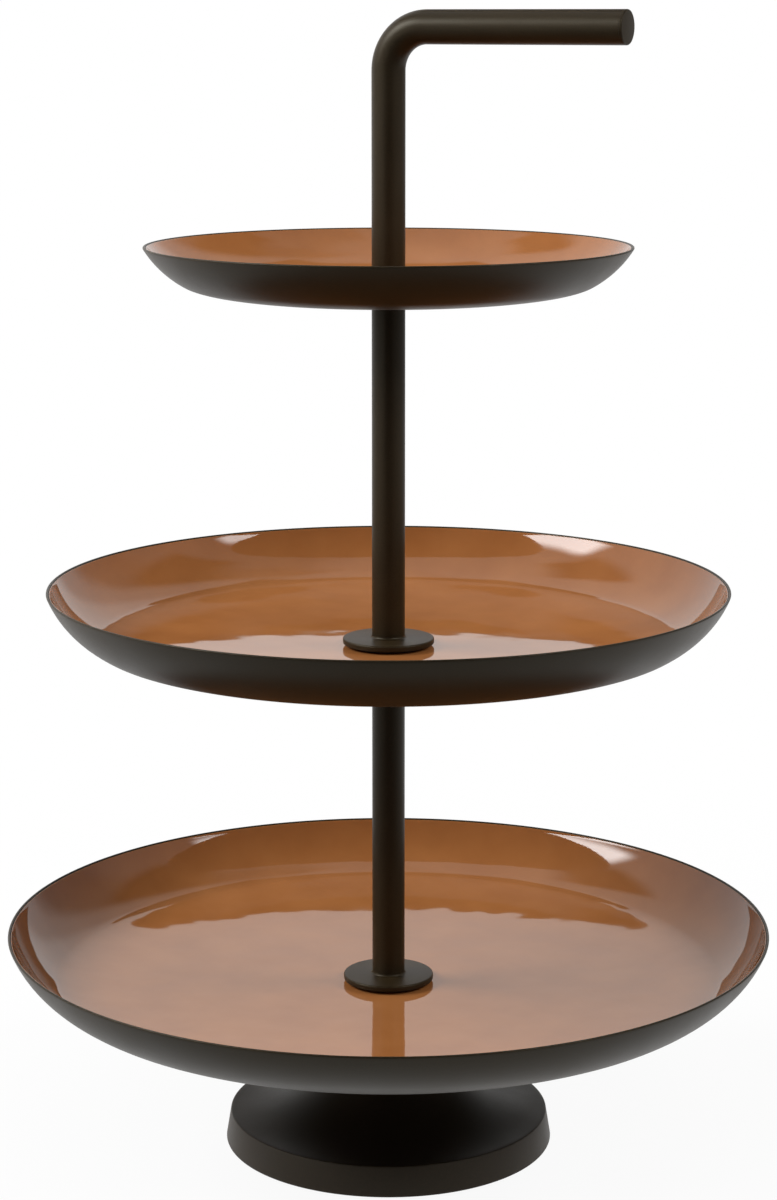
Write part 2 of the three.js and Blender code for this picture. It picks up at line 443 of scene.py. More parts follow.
def lineOf(tree, start, end, spacing):
    places = [
        addNode(tree, "ShaderNodeCombineXYZ", {"X": radius, "Y": height}).outputs[0]
        for radius, height in (start, end)
    ]
    ends = {"Start": places[0], "End": places[1]}
    line = addNode(tree, "GeometryNodeCurvePrimitiveLine", ends, mode="POINTS")
    inputs = {"Curve": line.outputs[0], "Length": spacing}
    return addNode(tree, "GeometryNodeResampleCurve", inputs, mode="LENGTH").outputs[0]


def blendOf(tree, level, flatRadius, centre, radius, angle, steps):
    half = maths(tree, "TANGENT", maths(tree, "MULTIPLY", angle, 0.5))
    corner = maths(tree, "MULTIPLY_ADD", half, radius, centre[0])
    endR = maths(tree, "MULTIPLY_ADD", maths(tree, "SINE", angle), radius, centre[0])
    drop = maths(tree, "MULTIPLY", maths(tree, "COSINE", angle), radius)
    endZ = maths(tree, "SUBTRACT", centre[1], drop)
    places = [
        addNode(tree, "ShaderNodeCombineXYZ", {"X": across, "Y": height}).outputs[0]
        for across, height in ((flatRadius, level), (corner, level), (endR, endZ))
    ]
    inputs = {"Resolution": steps, "Start": places[0], "Middle": places[1], "End": places[2]}
    return addNode(tree, "GeometryNodeCurveQuadraticBezier", inputs).outputs[0]


def arcOf(tree, centre, radius, start, sweep, steps):
    inputs = {"Resolution": steps, "Radius": radius, "Start Angle": start, "Sweep Angle": sweep}
    bend = addNode(tree, "GeometryNodeCurveArc", inputs, mode="RADIUS")
    place = addNode(tree, "ShaderNodeCombineXYZ", {"X": centre[0], "Y": centre[1]})
    inputs = {"Geometry": bend.outputs[0], "Translation": place.outputs[0]}
    return addNode(tree, "GeometryNodeTransform", inputs).outputs[0]


def dishForm():
    sizes = {
        "Height": "Float",
        "Arc Centre": "Float",
        "Floor Radius": "Float",
        "Outer Radius": "Float",
        "Thickness": "Float",
        "Wall Angle": "Float",
        "Flat Radius": "Float",
        "Blend Angle": "Float",
        "Hole Radius": "Float",
        "Spacing": "Float",
        "Blend Steps": "Int",
        "Wall Steps": "Int",
        "Lip Steps": "Int",
        "Segments": "Int",
    }
    tree, given = startForm("dishForm", sizes)
    floorRadius = given["Floor Radius"]
    centre = (floorRadius, given["Arc Centre"])
    thickness = given["Thickness"]
    wallAngle = given["Wall Angle"]
    innerRadius = maths(tree, "SUBTRACT", given["Outer Radius"], thickness)
    lipRadius = maths(tree, "MULTIPLY", thickness, 0.5)
    midRadius = maths(tree, "SUBTRACT", given["Outer Radius"], lipRadius)
    under = maths(tree, "SUBTRACT", given["Arc Centre"], given["Outer Radius"])
    upper = maths(tree, "ADD", under, thickness)
    lipR = maths(tree, "MULTIPLY_ADD", maths(tree, "SINE", wallAngle), midRadius, floorRadius)
    lipRise = maths(tree, "MULTIPLY", maths(tree, "COSINE", wallAngle), midRadius)
    lipZ = maths(tree, "SUBTRACT", given["Arc Centre"], lipRise)
    lipStart = maths(tree, "SUBTRACT", wallAngle, quarterTurn)
    hole = given["Hole Radius"]
    spacing = given["Spacing"]
    wallSteps = given["Wall Steps"]
    flat = given["Flat Radius"]
    blend = given["Blend Angle"]
    blendSteps = given["Blend Steps"]
    wallStart = maths(tree, "SUBTRACT", blend, quarterTurn)
    wallSweep = maths(tree, "SUBTRACT", wallAngle, blend)
    strips = [
        lineOf(tree, (hole, under), (flat, under), spacing),
        blendOf(tree, under, flat, centre, given["Outer Radius"], blend, blendSteps),
        arcOf(tree, centre, given["Outer Radius"], wallStart, wallSweep, wallSteps),
        arcOf(tree, (lipR, lipZ), lipRadius, lipStart, math.pi, given["Lip Steps"]),
        arcOf(tree, centre, innerRadius, wallStart, wallSweep, wallSteps),
        blendOf(tree, upper, flat, centre, innerRadius, blend, blendSteps),
        lineOf(tree, (flat, upper), (hole, upper), spacing),
        lineOf(tree, (hole, upper), (hole, under), spacing),
    ]
    profile = addNode(tree, "GeometryNodeJoinGeometry")
    for strip in strips:
        tree.links.new(strip, profile.inputs[0])
    # The sweep puts a profile's X outside its path and turns its Y upside down.
    shift = addNode(tree, "ShaderNodeCombineXYZ", {"X": maths(tree, "MULTIPLY", hole, -1.0)})
    turned = addNode(
        tree,
        "GeometryNodeTransform",
        {"Geometry": profile.outputs[0], "Translation": shift.outputs[0], "Scale": (1, -1, 1)},
    )
    path = addNode(
        tree,
        "GeometryNodeCurvePrimitiveCircle",
        {"Resolution": given["Segments"], "Radius": hole},
        mode="RADIUS",
    )
    swept = addNode(
        tree,
        "GeometryNodeCurveToMesh",
        {"Curve": path.outputs[0], "Profile Curve": turned.outputs[0]},
    )
    inputs = {"Geometry": swept.outputs[0], "Distance": mergeDistance}
    whole = addNode(tree, "GeometryNodeMergeByDistance", inputs)
    lift = addNode(tree, "ShaderNodeCombineXYZ", {"Z": given["Height"]})
    placed = addNode(
        tree,
        "GeometryNodeTransform",
        {"Geometry": whole.outputs[0], "Translation": lift.outputs[0]},
    )
    return endForm(tree, placed.outputs[0], given["Material"])


def makeDishes():
    tree = dishForm()
    arcRadius = dishSheet["arcRadius"]
    lipRadius = dishSheet["thickness"] / 2
    midRadius = arcRadius - lipRadius
    sheetInside = arcRadius - dishSheet["thickness"]
    for name, dish in dishes.items():
        rise = math.acos((arcRadius - dish["depth"] + lipRadius) / midRadius)
        shared = {
            "Height": tierOf[name],
            "Arc Centre": arcRadius * mm,
            "Floor Radius": (dish["rimRadius"] - lipRadius - midRadius * math.sin(rise)) * mm,
            "Flat Radius": dishSheet["flatRadius"] * mm,
            "Blend Angle": math.radians(dishSheet["blendAngle"]),
            "Hole Radius": dishSheet["holeRadius"] * mm,
            "Spacing": dishSheet["floorSpacing"] * mm,
            "Blend Steps": dishSheet["blendSteps"],
            "Wall Steps": dishSheet["wallSteps"],
            "Lip Steps": dishSheet["lipSteps"],
            "Segments": dishSheet["segments"],
        }
        sheet = {
            "Outer Radius": arcRadius * mm,
            "Thickness": dishSheet["thickness"] * mm,
            "Wall Angle": rise,
        }
        bare = dishCoat["bareLip"] + dishCoat["thickness"] / 2
        coat = {
            "Outer Radius": (sheetInside - dishCoat["gap"]) * mm,
            "Thickness": dishCoat["thickness"] * mm,
            "Wall Angle": rise - bare / sheetInside,
        }
        for node, own in ((f"{name}_dish", sheet), (f"{name}_dish_enamel", coat)):
            settle(node, growForm(tree, node, {**shared, **own}))


makeDishes()
print("dishes and enamel made")


# Column: tube lengths, flanges, gaskets, plugs and studs

tube = {
    "radius": 8,
    "wall": 1.5,
    "edge": 0.5,
    "bottom": 7.35,
    "top": 169.8,
}
flange = {
    "radius": 22.2,
    "bottom": 2.85,
    "top": 5.85,
    "edge": 0.8,
    "cove": 1.4,
    "coveSteps": 8,
    "spigotRadius": 6.3,
    "spigotLength": 16,
}
gasket = {"radius": 19, "bottom": 1.75, "top": 2.75, "edge": 0.25}
seat = {"radius": 7.5, "bottom": 169.9, "top": 170.9, "edge": 0.2}
plugPiece = {"radius": 6.3, "bottom": 155.8, "edge": 0.3}
thread = {
    "radius": 4,
    "depth": 0.72,
    "pitch": 1.25,
    "crest": 0.12,  # share of the flank that the flat crest takes
    "root": 0.88,  # share where the flat root starts
    "bore": 4.25,
    "stepsPerTurn": 10,
    "taper": 1.2,
    "studTop": 183.35,
    "segments": 40,
}


def threadForm():
    sizes = {
        "Radius": "Float",
        "Depth": "Float",
        "Pitch": "Float",
        "Crest": "Float",
        "Root": "Float",
        "Bottom": "Float",
        "Top": "Float",
        "Taper": "Float",
        "Steps Per Turn": "Int",
        "Segments": "Int",
    }
    tree, given = startForm("threadForm", sizes)
    length = maths(tree, "SUBTRACT", given["Top"], given["Bottom"])
    turns = maths(tree, "DIVIDE", length, given["Pitch"])
    rows = maths(tree, "CEIL", maths(tree, "MULTIPLY", turns, given["Steps Per Turn"]))
    shankSizes = {
        "Vertices": given["Segments"],
        "Side Segments": rows,
        "Radius": given["Radius"],
        "Depth": length,
    }
    shank = addNode(tree, "GeometryNodeMeshCylinder", shankSizes, fill_type="NGON")
    middle = maths(tree, "MULTIPLY", maths(tree, "ADD", given["Top"], given["Bottom"]), 0.5)
    place = addNode(tree, "GeometryNodeInputPosition").outputs[0]
    split = addNode(tree, "ShaderNodeSeparateXYZ", {"Vector": place}).outputs
    height = maths(tree, "ADD", split["Z"], middle)
    angle = maths(tree, "ARCTAN2", split["Y"], split["X"])
    turn = maths(tree, "DIVIDE", angle, fullTurn)
    along = maths(tree, "SUBTRACT", maths(tree, "DIVIDE", height, given["Pitch"]), turn)
    flank = maths(tree, "PINGPONG", maths(tree, "MULTIPLY", maths(tree, "FRACT", along), 2.0), 1.0)
    limits = {"Value": flank, "From Min": given["Crest"], "From Max": given["Root"]}
    groove = addNode(tree, "ShaderNodeMapRange", limits).outputs[0]
    fromBottom = maths(tree, "SUBTRACT", height, given["Bottom"])
    fromTop = maths(tree, "SUBTRACT", given["Top"], height)
    nearEnd = maths(tree, "DIVIDE", maths(tree, "MINIMUM", fromBottom, fromTop), given["Taper"])
    faded = maths(tree, "SUBTRACT", 1.0, maths(tree, "MINIMUM", nearEnd, 1.0))
    cut = maths(tree, "MULTIPLY", maths(tree, "MAXIMUM", groove, faded), given["Depth"])
    narrowed = maths(tree, "SUBTRACT", 1.0, maths(tree, "DIVIDE", cut, given["Radius"]))
    moved = addNode(
        tree,
        "ShaderNodeCombineXYZ",
        {
            "X": maths(tree, "MULTIPLY", split["X"], narrowed),
            "Y": maths(tree, "MULTIPLY", split["Y"], narrowed),
            "Z": height,
        },
    )
    inputs = {"Geometry": shank.outputs[0], "Position": moved.outputs[0]}
    cutShank = addNode(tree, "GeometryNodeSetPosition", inputs)
    return endForm(tree, cutShank.outputs[0], given["Material"])


def threadMesh(name, bottom, top):
    values = {
        "Radius": thread["radius"] * mm,
        "Depth": thread["depth"] * mm,
        "Pitch": thread["pitch"] * mm,
        "Crest": thread["crest"],
        "Root": thread["root"],
        "Bottom": bottom,
        "Top": top,
        "Taper": thread["taper"] * mm,
        "Steps Per Turn": thread["stepsPerTurn"],
        "Segments": thread["segments"],
    }
    return growForm(threadTree, name, values)


def makeFlange(node, tier):
    cove = flange["cove"]
    coveR = tube["radius"] + cove
    coveZ = flange["top"] + cove
    disc = [
        (thread["bore"], flange["bottom"]),
        (flange["radius"], flange["bottom"], flange["edge"]),
        (flange["radius"], flange["top"], flange["edge"]),
    ]
    outline = softened([*disc, (coveR, flange["top"])])
    outline.pop()  # the cove's arc starts there
    outline += arcPoints(
        coveR, coveZ, cove, cove, -quarterTurn, -math.pi, flange["coveSteps"]
    )
    outline += [
        (flange["spigotRadius"], coveZ),
        (flange["spigotRadius"], coveZ + flange["spigotLength"]),
        (thread["bore"], coveZ + flange["spigotLength"]),
    ]
    settle(node, turnedMesh(node, outline, tier))


def makeGasket(node, tier):
    hole = dishSheet["holeRadius"]
    outline = ringOutline(
        hole, gasket["radius"], gasket["bottom"], gasket["top"], gasket["edge"]
    )
    settle(node, turnedMesh(node, outline, tier))


def makeColumnLength(name, tier):
    makeGasket(f"{name}_gasket", tier)
    makeFlange(f"{name}_flange", tier)
    bore = tube["radius"] - tube["wall"]
    outline = softened(
        [
            (bore, tube["bottom"]),
            (tube["radius"], tube["bottom"]),
            (tube["radius"], tube["top"], tube["edge"]),
            (bore, tube["top"]),
        ]
    )
    settle(f"{name}_tube", turnedMesh(f"{name}_tube", outline, tier))
    plugOutline = ringOutline(
        thread["bore"], plugPiece["radius"], plugPiece["bottom"], tube["top"], plugPiece["edge"]
    )
    settle(f"{name}_tube_plug", turnedMesh(f"{name}_tube_plug", plugOutline, tier))
    seatOutline = ringOutline(
        dishSheet["holeRadius"], seat["radius"], seat["bottom"], seat["top"], seat["edge"]
    )
    settle(f"{name}_seat_gasket", turnedMesh(f"{name}_seat_gasket", seatOutline, tier))
    studBottom = tier + plugPiece["bottom"] * mm
    stud = threadMesh(f"{name}_stud", studBottom, tier + thread["studTop"] * mm)
    settle(f"{name}_stud", stud)


threadTree = threadForm()
makeColumnLength("lower", tierOf["bottom"])
makeColumnLength("upper", tierOf["middle"])
print("column made")


# Handle: a tube swept round one bend, on its own flange, with a cap on its end

handle = {
    "bottom": 7.35,
    "rise": 125.8,  # of the arm's middle line
    "tubeEnd": 118.7,
    "capStart": 112.8,
    "capFace": 118.8,
    "end": 120.3,
    "capEdge": 0.6,
    "plugEdge": 0.5,
    "bend": 20,
    "bendSteps": 48,
    "spacing": 1.3,  # between the tube's rings
    "segments": 96,
}


def barForm():
    sizes = {
        "Radius": "Float",
        "Bend Radius": "Float",
        "Bend Steps": "Int",
        "Spacing": "Float",
        "Segments": "Int",
    }
    tree, given = startForm("barForm", sizes, takesPath=True)
    line = addNode(tree, "GeometryNodeMeshToCurve", {"Mesh": given["Path"]})
    inputs = {
        "Curve": line.outputs[0],
        "Count": given["Bend Steps"],
        "Radius": given["Bend Radius"],
    }
    bent = addNode(tree, "GeometryNodeFilletCurve", inputs, mode="POLY")
    even = addNode(
        tree,
        "GeometryNodeResampleCurve",
        {"Curve": bent.outputs[0], "Length": given["Spacing"]},
        mode="LENGTH",
    )
    section = addNode(
        tree,
        "GeometryNodeCurvePrimitiveCircle",
        {"Resolution": given["Segments"], "Radius": given["Radius"]},
        mode="RADIUS",
    )
    swept = addNode(
        tree,
        "GeometryNodeCurveToMesh",
        {"Curve": even.outputs[0], "Profile Curve": section.outputs[0]},
    )
    return endForm(tree, swept.outputs[0], given["Material"])


def hollowed(mesh, wall):
    holder = linkMesh(mesh.name, mesh)
    modifier = holder.modifiers.new("wall", "SOLIDIFY")
    modifier.thickness = wall
    modifier.offset = -1
    return smoothed(finishedMesh(holder))


def makeHandle(tier):
    makeGasket("handle_gasket", tier)
    makeFlange("handle_flange", tier)
    arm = tier + handle["rise"] * mm
    corners = [(0, 0, tier + handle["bottom"] * mm), (0, 0, arm), (handle["tubeEnd"] * mm, 0, arm)]
    path = bpy.data.meshes.new("handlePath")
    path.from_pydata(corners, [(0, 1), (1, 2)], [])
    values = {
        "Radius": tube["radius"] * mm,
        "Bend Radius": handle["bend"] * mm,
        "Bend Steps": handle["bendSteps"],
        "Spacing": handle["spacing"] * mm,
        "Segments": handle["segments"],
    }
    swept = growForm(barForm(), "handleTube", values, path)
    settle("handle_tube", hollowed(swept, tube["wall"] * mm))
    outline = softened(
        [
            (0, handle["capStart"]),
            (flange["spigotRadius"], handle["capStart"], handle["plugEdge"]),
            (flange["spigotRadius"], handle["capFace"]),
            (tube["radius"], handle["capFace"]),
            (tube["radius"], handle["end"], handle["capEdge"]),
            (0, handle["end"]),
        ]
    )
    cap = turnedMesh("handleEndCap", outline, segments=handle["segments"])
    for vert in cap.vertices:
        x, y, z = vert.co
        vert.co = (z, y, arm - x)
    settle("handle_end_cap", cap)


makeHandle(tierOf["top"])
print("handle made")


# Foot: a hollow pedestal with its pads, and the screw that holds it

foot = {
    "height": 77.8,
    "radius": 81.5,
    "ridgeRadius": 79,
    "bandHeight": 15,
    "ridgeLand": 1.6,  # flat ring between the ridge's edge and the flare
    "edge": 0.8,
    "neckRadius": 27,
    "neckHeight": 56,
    "seatRadius": 34,
    "seatThickness": 3,
    "seatEdge": 0.8,
    "wall": 2.5,
    "hemWidth": 13,
    "hemEdge": 0.5,
    "flareSteps": 48,
    "neckSteps": 16,
    "insideSteps": 32,
    "segments": 256,
}
pad = {
    "radius": 5,
    "height": 1.5,
    "restRadius": 2,  # the flat patch that stands on the table
    "domeSteps": 12,
    "count": 4,
    "segments": 48,
}
footGasket = {"radius": 30, "bottom": -1.1, "top": -0.1, "edge": 0.3}
screw = {
    "headRadius": 6.5,
    "headBottom": -14,
    "headTop": -6,
    "headEdge": 0.5,
    "socketSides": 6,
    "socketWidth": 6,
    "socketDepth": 4,
    "overrun": 1,  # of the socket's cutter, and of the shank into the head
    "segments": 96,
    "shankTop": 12.35,
    "washerRadius": 8,
    "washerBottom": -5.9,
    "washerTop": -4.3,
    "washerEdge": 0.25,
}


def makeFoot(bottom):
    flareEnd = foot["ridgeRadius"] - foot["edge"] - foot["ridgeLand"]
    flareRun = flareEnd - foot["neckRadius"]
    flareDrop = foot["neckHeight"] - foot["bandHeight"]
    seatBottom = foot["height"] - foot["seatThickness"]
    hemInner = foot["radius"] - foot["hemWidth"]
    wall = foot["wall"]
    low = [
        (hemInner, 0, foot["hemEdge"]),
        (foot["radius"], 0, foot["edge"]),
        (foot["ridgeRadius"], foot["bandHeight"], foot["edge"]),
        (flareEnd, foot["bandHeight"]),
    ]
    neckHeight = foot["neckHeight"]
    neckRun = foot["seatRadius"] - foot["neckRadius"]
    neckRise = seatBottom - neckHeight
    flare = (flareEnd, neckHeight, flareRun, flareDrop)
    neck = (foot["seatRadius"], neckHeight, neckRun, neckRise)
    inside = (flareEnd, neckHeight, flareRun + wall, flareDrop + wall)
    # The last two points only guide the corners beside them, and the flare starts at the first.
    outline = softened([*low, (hemInner, foot["bandHeight"])])[:-2]
    outline += arcPoints(*flare, -quarterTurn, -math.pi, foot["flareSteps"])
    outline += arcPoints(*neck, math.pi, quarterTurn, foot["neckSteps"])
    outline += softened(
        [
            (foot["seatRadius"], seatBottom),
            (foot["seatRadius"], foot["height"], foot["seatEdge"]),
            (dishSheet["holeRadius"], foot["height"]),
        ]
    )
    outline += [
        (dishSheet["holeRadius"], seatBottom),
        (foot["neckRadius"] - wall, seatBottom),
    ]
    outline += arcPoints(*inside, -math.pi, -quarterTurn, foot["insideSteps"])
    outline += [
        (foot["ridgeRadius"] - wall, foot["bandHeight"] - wall),
        (foot["radius"] - wall, wall),
        (hemInner, wall),
    ]
    settle("base_foot", turnedMesh("base_foot", outline, bottom, foot["segments"]))


def makePads():
    ring = (foot["radius"] - foot["hemWidth"] / 2) * mm
    apart = pad["radius"] ** 2 - pad["restRadius"] ** 2
    centre = (apart + pad["height"] ** 2) / (2 * pad["height"])
    dome = math.hypot(pad["restRadius"], centre)
    start = math.asin(pad["restRadius"] / dome) - quarterTurn
    end = math.asin(pad["radius"] / dome) - quarterTurn
    curve = arcPoints(0, centre, dome, dome, start, end, pad["domeSteps"])
    outline = [(0, 0), *curve, (0, pad["height"])]
    for index in range(pad["count"]):
        angle = fullTurn * (index + 0.5) / pad["count"]
        mesh = turnedMesh(f"foot_pad_{index + 1}", outline, segments=pad["segments"])
        for vert in mesh.vertices:
            vert.co.x += ring * math.cos(angle)
            vert.co.y += ring * math.sin(angle)
        settle(f"foot_pad_{index + 1}", mesh)


def socketHead(tier):
    outline = softened(
        [
            (0, screw["headBottom"]),
            (screw["headRadius"], screw["headBottom"], screw["headEdge"]),
            (screw["headRadius"], screw["headTop"], screw["headEdge"]),
            (0, screw["headTop"]),
        ]
    )
    head = linkMesh("screwHead", turnedMesh("screwHead", outline, tier, screw["segments"]))
    sides = screw["socketSides"]
    keyRadius = screw["socketWidth"] / 2 / math.cos(math.pi / sides)
    deep = screw["headBottom"] + screw["socketDepth"]
    shallow = screw["headBottom"] - screw["overrun"]
    key = [(0, shallow), (keyRadius, shallow), (keyRadius, deep), (0, deep)]
    cutter = linkMesh("screwSocket", turnedMesh("screwSocket", key, tier, sides))
    modifier = head.modifiers.new("socket", "BOOLEAN")
    modifier.object = cutter
    modifier.operation = "DIFFERENCE"
    cut = finishedMesh(head)
    bpy.data.objects.remove(cutter)
    return cut


def makeScrew(tier):
    shankBottom = tier + (screw["headTop"] - screw["overrun"]) * mm
    shank = threadMesh("screwShank", shankBottom, tier + screw["shankTop"] * mm)
    settle("base_screw", joinedMesh("base_screw", [socketHead(tier), shank]))
    outline = ringOutline(
        thread["bore"],
        screw["washerRadius"],
        screw["washerBottom"],
        screw["washerTop"],
        screw["washerEdge"],
    )
    settle("base_washer", turnedMesh("base_washer", outline, tier))
    outline = ringOutline(
        dishSheet["holeRadius"],
        footGasket["radius"],
        footGasket["bottom"],
        footGasket["top"],
        footGasket["edge"],
    )
    settle("base_gasket", turnedMesh("base_gasket", outline, tier))


makeFoot(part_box("base_foot")[0].z)
makePads()
makeScrew(tierOf["bottom"])
print("foot made")


# Camera, floor and light

camera = {
    "azimuth": 27.0,  # degrees round from the handle's broad side, towards its end
    "pitch": 11.6,  # degrees down
    "distance": 1.352,  # from the column's axis, along the floor
    "height": 0.5533,
    "lens": 85.35,
    "sensor": 36.0,
}

studio = {
    "worldFill": 0.22,  # what the room adds to the light on the object
    "backdrop": 1.0,  # what the lens sees behind the object
    "floorColour": 0.85,
    "floorBounce": 0.2,  # the floor's colour for the light that it throws back
    "floorRadius": 30.0,
    "floorSegments": 64,
    "floorGlow": 0.93,  # how far the paper is brightened for the lens beside the foot
    "fadeStart": 0.2,  # where it starts to brighten further, into the backdrop
    "fadeEnd": 0.8,
}

# What only reflections see of the room. A turn is in degrees from straight behind the object,
# positive to the camera's right, and a rise in degrees above the level of the dishes.
room = {
    "radius": 2.6,
    "height": 0.25,
    "shade": 0.08,  # between the boards
    "segments": 96,
    "fanPower": 0.6,  # how fast a pointed board widens
    "leastFan": 0.01,  # keeps its lowest point from dividing by nothing
}
# Each board covers those before it.
boards = {
    "ceiling": {"turn": (-180, 180), "rise": (63, 100), "shade": 0.85, "soft": 8},
    "rightWall": {"turn": (28, 150), "rise": (-20, 75), "shade": 0.3, "soft": 14},
    "rightSide": {"turn": (66, 150), "rise": (-20, 75), "shade": 0.5, "soft": 16},
    "leftBoard": {"turn": (-152, -17), "rise": (-20, 100), "shade": 1.0, "soft": 10},
    "rightBoard": {"turn": (13, 37), "rise": (-20, 62), "shade": 0.72, "soft": 12},
    "backdrop": {"turn": (-24, 22), "rise": (-30, 62), "shade": 1.0, "soft": 8},
    "darkWedge": {"turn": (-24, 30), "rise": (29, 61), "shade": 0.06, "soft": 3, "point": 29},
    "leftCorner": {"turn": (-80, -45), "rise": (40, 59), "shade": 0.1, "soft": 9},
    "rightCorner": {"turn": (41, 84), "rise": (36, 59), "shade": 0.03, "soft": 9},
    # The lamps' soft images
    "leftGlow": {"turn": (-123, -87), "rise": (24, 44), "shade": 14, "soft": 9},
    "rightGlow": {"turn": (108, 138), "rise": (26, 42), "shade": 9, "soft": 7},
}

# A dark card on the paper in front of the object that only reflections see: painted shade in
# reflections
mirroredFrontShade = {"near": 0.4, "far": 2.4, "halfWidth": 1.6, "height": 0.001, "shade": 0.2}

# Lamps have the same turn and rise, with a distance and size in metres. Reflections see the
# two glows above instead.
lamps = {
    "leftBox": {"turn": -86, "rise": 34, "away": 2.1, "size": (1.1, 0.75), "radiance": 15.5},
    "rightBox": {"turn": 88, "rise": 34, "away": 2.1, "size": (0.9, 0.55), "radiance": 13.2},
    "overhead": {"turn": 0, "rise": 90, "away": 1.1, "size": (1.6, 1.6), "radiance": 0.45},
    "fromFront": {"turn": 180, "rise": 52, "away": 1.8, "size": (2.4, 1.2), "radiance": 0.8},
}


def makeCamera():
    data = bpy.data.cameras.new("photoCamera")
    data.lens = camera["lens"]
    data.sensor_width = camera["sensor"]
    holder = bpy.data.objects.new("photoCamera", data)
    turn = math.radians(camera["azimuth"])
    away = camera["distance"]
    holder.location = (away * math.sin(turn), -away * math.cos(turn), camera["height"])
    holder.rotation_euler = (math.radians(90 - camera["pitch"]), 0, turn)
    bpy.context.scene.collection.objects.link(holder)
    bpy.context.scene.camera = holder


# 1 where the lens, a reflection or glass looks, and 0 for the light that a surface gathers
def seenBare(tree):
    path = addNode(tree, "ShaderNodeLightPath").outputs
    mirrored = maths(tree, "MAXIMUM", path["Is Glossy Ray"], path["Is Transmission Ray"])
    return maths(tree, "MAXIMUM", path["Is Camera Ray"], mirrored)


def makeWorld():
    world = bpy.data.worlds.new("studioWorld")
    bpy.context.scene.world = world
    world.use_nodes = True
    tree = world.node_tree
    tree.nodes.clear()
    lift = studio["backdrop"] - studio["worldFill"]
    strength = maths(tree, "MULTIPLY_ADD", seenBare(tree), lift, studio["worldFill"])
    light = addNode(tree, "ShaderNodeBackground", {"Color": (1, 1, 1, 1), "Strength": strength})
    addNode(tree, "ShaderNodeOutputWorld", {"Surface": light.outputs[0]})


def makeFloor():
    segments = studio["floorSegments"]
    work = bmesh.new()
    bmesh.ops.create_circle(work, cap_ends=True, radius=studio["floorRadius"], segments=segments)
    mesh = bpy.data.meshes.new("floor")
    work.to_mesh(mesh)
    work.free()
    material, tree, place = startMaterial("palePaper")
    split = addNode(tree, "ShaderNodeSeparateXYZ", {"Vector": place}).outputs
    level = addNode(tree, "ShaderNodeCombineXYZ", {"X": split["X"], "Y": split["Y"]})
    reach = addNode(tree, "ShaderNodeVectorMath", {0: level.outputs[0]}, operation="LENGTH")
    inputs = {
        "Value": reach.outputs["Value"],
        "From Min": studio["fadeStart"],
        "From Max": studio["fadeEnd"],
        "To Min": studio["floorGlow"],
    }
    fade = addNode(tree, "ShaderNodeMapRange", inputs, interpolation_type="SMOOTHSTEP").outputs[0]
    lift = studio["floorColour"] - studio["floorBounce"]
    shade = maths(tree, "MULTIPLY_ADD", seenBare(tree), lift, studio["floorBounce"])
    colour = addNode(tree, "ShaderNodeCombineColor", {"Red": shade, "Green": shade, "Blue": shade})
    paper = addNode(tree, "ShaderNodeBsdfDiffuse", {"Color": colour.outputs[0]})
    glow = addNode(tree, "ShaderNodeEmission", {"Strength": studio["backdrop"]})
    glowing = maths(tree, "MULTIPLY", fade, seenBare(tree))
    above = addNode(
        tree, "ShaderNodeMixShader", {0: glowing, 1: paper.outputs[0], 2: glow.outputs[0]}
    )
    # From below, the lens looks through the paper to the object's underside.
    below = addNode(tree, "ShaderNodeNewGeometry").outputs["Backfacing"]
    clear = addNode(tree, "ShaderNodeBsdfTransparent")
    seen = addNode(
        tree, "ShaderNodeMixShader", {0: below, 1: above.outputs[0], 2: clear.outputs[0]}
    )
    endMaterial(tree, seen)
    floor = linkMesh("floor", mesh)
    mesh.materials.append(material)


def mirroredOnly(piece):
    piece.visible_camera = False
    piece.visible_diffuse = False
    piece.visible_shadow = False


def inside(tree, value, limits, soft):
    middle = (limits[0] + limits[1]) / 2
    half = (limits[1] - limits[0]) / 2
    apart = maths(tree, "ABSOLUTE", maths(tree, "SUBTRACT", value, middle))
    inputs = {
        "Value": apart,
        "From Min": half - soft / 2,
        "From Max": half + soft / 2,
        "To Min": 1,
        "To Max": 0,
    }
    return addNode(tree, "ShaderNodeMapRange", inputs, interpolation_type="SMOOTHSTEP").outputs[0]


# A pointed board has no width at its lowest point and all of it at its top.
def fannedOut(tree, turn, rise, board):
    middle = sum(board["turn"]) / 2
    inputs = {"Value": rise, "From Min": board["point"], "From Max": board["rise"][1]}
    height = addNode(tree, "ShaderNodeMapRange", inputs).outputs[0]
    share = maths(tree, "POWER", height, room["fanPower"])
    offset = maths(tree, "SUBTRACT", turn, middle)
    spreadOut = maths(tree, "DIVIDE", offset, maths(tree, "MAXIMUM", share, room["leastFan"]))
    return maths(tree, "ADD", spreadOut, middle)


def distanceAlong(tree, place, direction):
    inputs = {0: place, 1: direction}
    node = addNode(tree, "ShaderNodeVectorMath", inputs, operation="DOT_PRODUCT")
    return node.outputs["Value"]


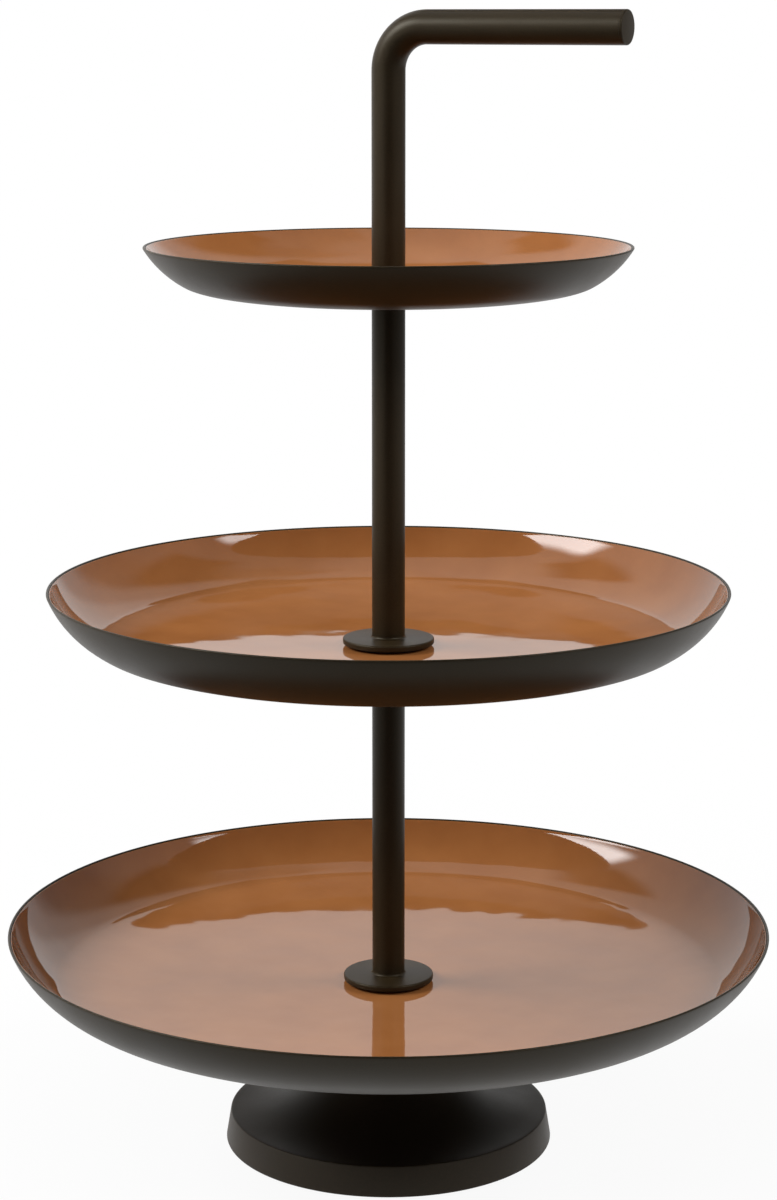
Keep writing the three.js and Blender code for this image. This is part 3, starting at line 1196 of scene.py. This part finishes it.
def makeRoom():
    work = bmesh.new()
    bmesh.ops.create_uvsphere(
        work,
        u_segments=room["segments"],
        v_segments=room["segments"] // 2,
        radius=room["radius"],
    )
    bmesh.ops.translate(work, verts=work.verts, vec=(0, 0, room["height"]))
    mesh = bpy.data.meshes.new("room")
    work.to_mesh(mesh)
    work.free()
    material, tree, place = startMaterial("roomBoards")
    towards = math.radians(camera["azimuth"])
    sideways = distanceAlong(tree, place, (math.cos(towards), math.sin(towards), 0))
    behind = distanceAlong(tree, place, (-math.sin(towards), math.cos(towards), 0))
    up = maths(tree, "SUBTRACT", distanceAlong(tree, place, (0, 0, 1)), room["height"])
    turn = maths(tree, "DEGREES", maths(tree, "ARCTAN2", sideways, behind))
    rise = maths(tree, "DEGREES", maths(tree, "ARCSINE", maths(tree, "DIVIDE", up, room["radius"])))
    shade = room["shade"]
    for board in boards.values():
        across = turn
        if "point" in board:
            across = fannedOut(tree, turn, rise, board)
        mask = maths(
            tree,
            "MULTIPLY",
            inside(tree, across, board["turn"], board["soft"]),
            inside(tree, rise, board["rise"], board["soft"]),
        )
        inputs = {"Factor": mask, "A": shade, "B": board["shade"]}
        shade = addNode(tree, "ShaderNodeMix", inputs, data_type="FLOAT").outputs[0]
    endMaterial(tree, addNode(tree, "ShaderNodeEmission", {"Strength": shade}))
    mesh.materials.append(material)
    mirroredOnly(linkMesh("room", mesh))


# A dark card lying on the paper in front of the object, seen only by reflections: painted shade
# that dims the reflections in what faces down.
def makeMirroredFrontShade():
    towards = math.radians(camera["azimuth"])
    corners = []
    for along, across in ((0, -1), (0, 1), (1, 1), (1, -1)):
        ahead = mirroredFrontShade["near"] + along * (mirroredFrontShade["far"] - mirroredFrontShade["near"])
        aside = across * mirroredFrontShade["halfWidth"]
        x = ahead * math.sin(towards) + aside * math.cos(towards)
        y = -ahead * math.cos(towards) + aside * math.sin(towards)
        corners.append((x, y, mirroredFrontShade["height"]))
    mesh = bpy.data.meshes.new("mirroredFrontShade")
    mesh.from_pydata(corners, [], [(0, 1, 2, 3)])
    material, tree = startMaterial("frontShade")[:2]
    endMaterial(tree, addNode(tree, "ShaderNodeEmission", {"Strength": mirroredFrontShade["shade"]}))
    mesh.materials.append(material)
    mirroredOnly(linkMesh("mirroredFrontShade", mesh))


def makeLamp(name, lamp):
    data = bpy.data.lights.new(name, "AREA")
    data.shape = "RECTANGLE"
    data.size, data.size_y = lamp["size"]
    data.energy = lamp["radiance"] * math.pi * data.size * data.size_y
    holder = bpy.data.objects.new(name, data)
    turn = math.radians(camera["azimuth"] - lamp["turn"])
    rise = math.radians(lamp["rise"])
    flat = lamp["away"] * math.cos(rise)
    up = room["height"] + lamp["away"] * math.sin(rise)
    holder.location = (-flat * math.sin(turn), flat * math.cos(turn), up)
    holder.rotation_euler = (quarterTurn - rise, 0, turn + math.pi)
    holder.visible_camera = False
    holder.visible_glossy = False
    bpy.context.scene.collection.objects.link(holder)


makeCamera()
makeWorld()
makeFloor()
makeRoom()
makeMirroredFrontShade()
for lampName, lampSizes in lamps.items():
    makeLamp(lampName, lampSizes)
bpy.context.scene.view_settings.view_transform = "Standard"
print("camera and light made")
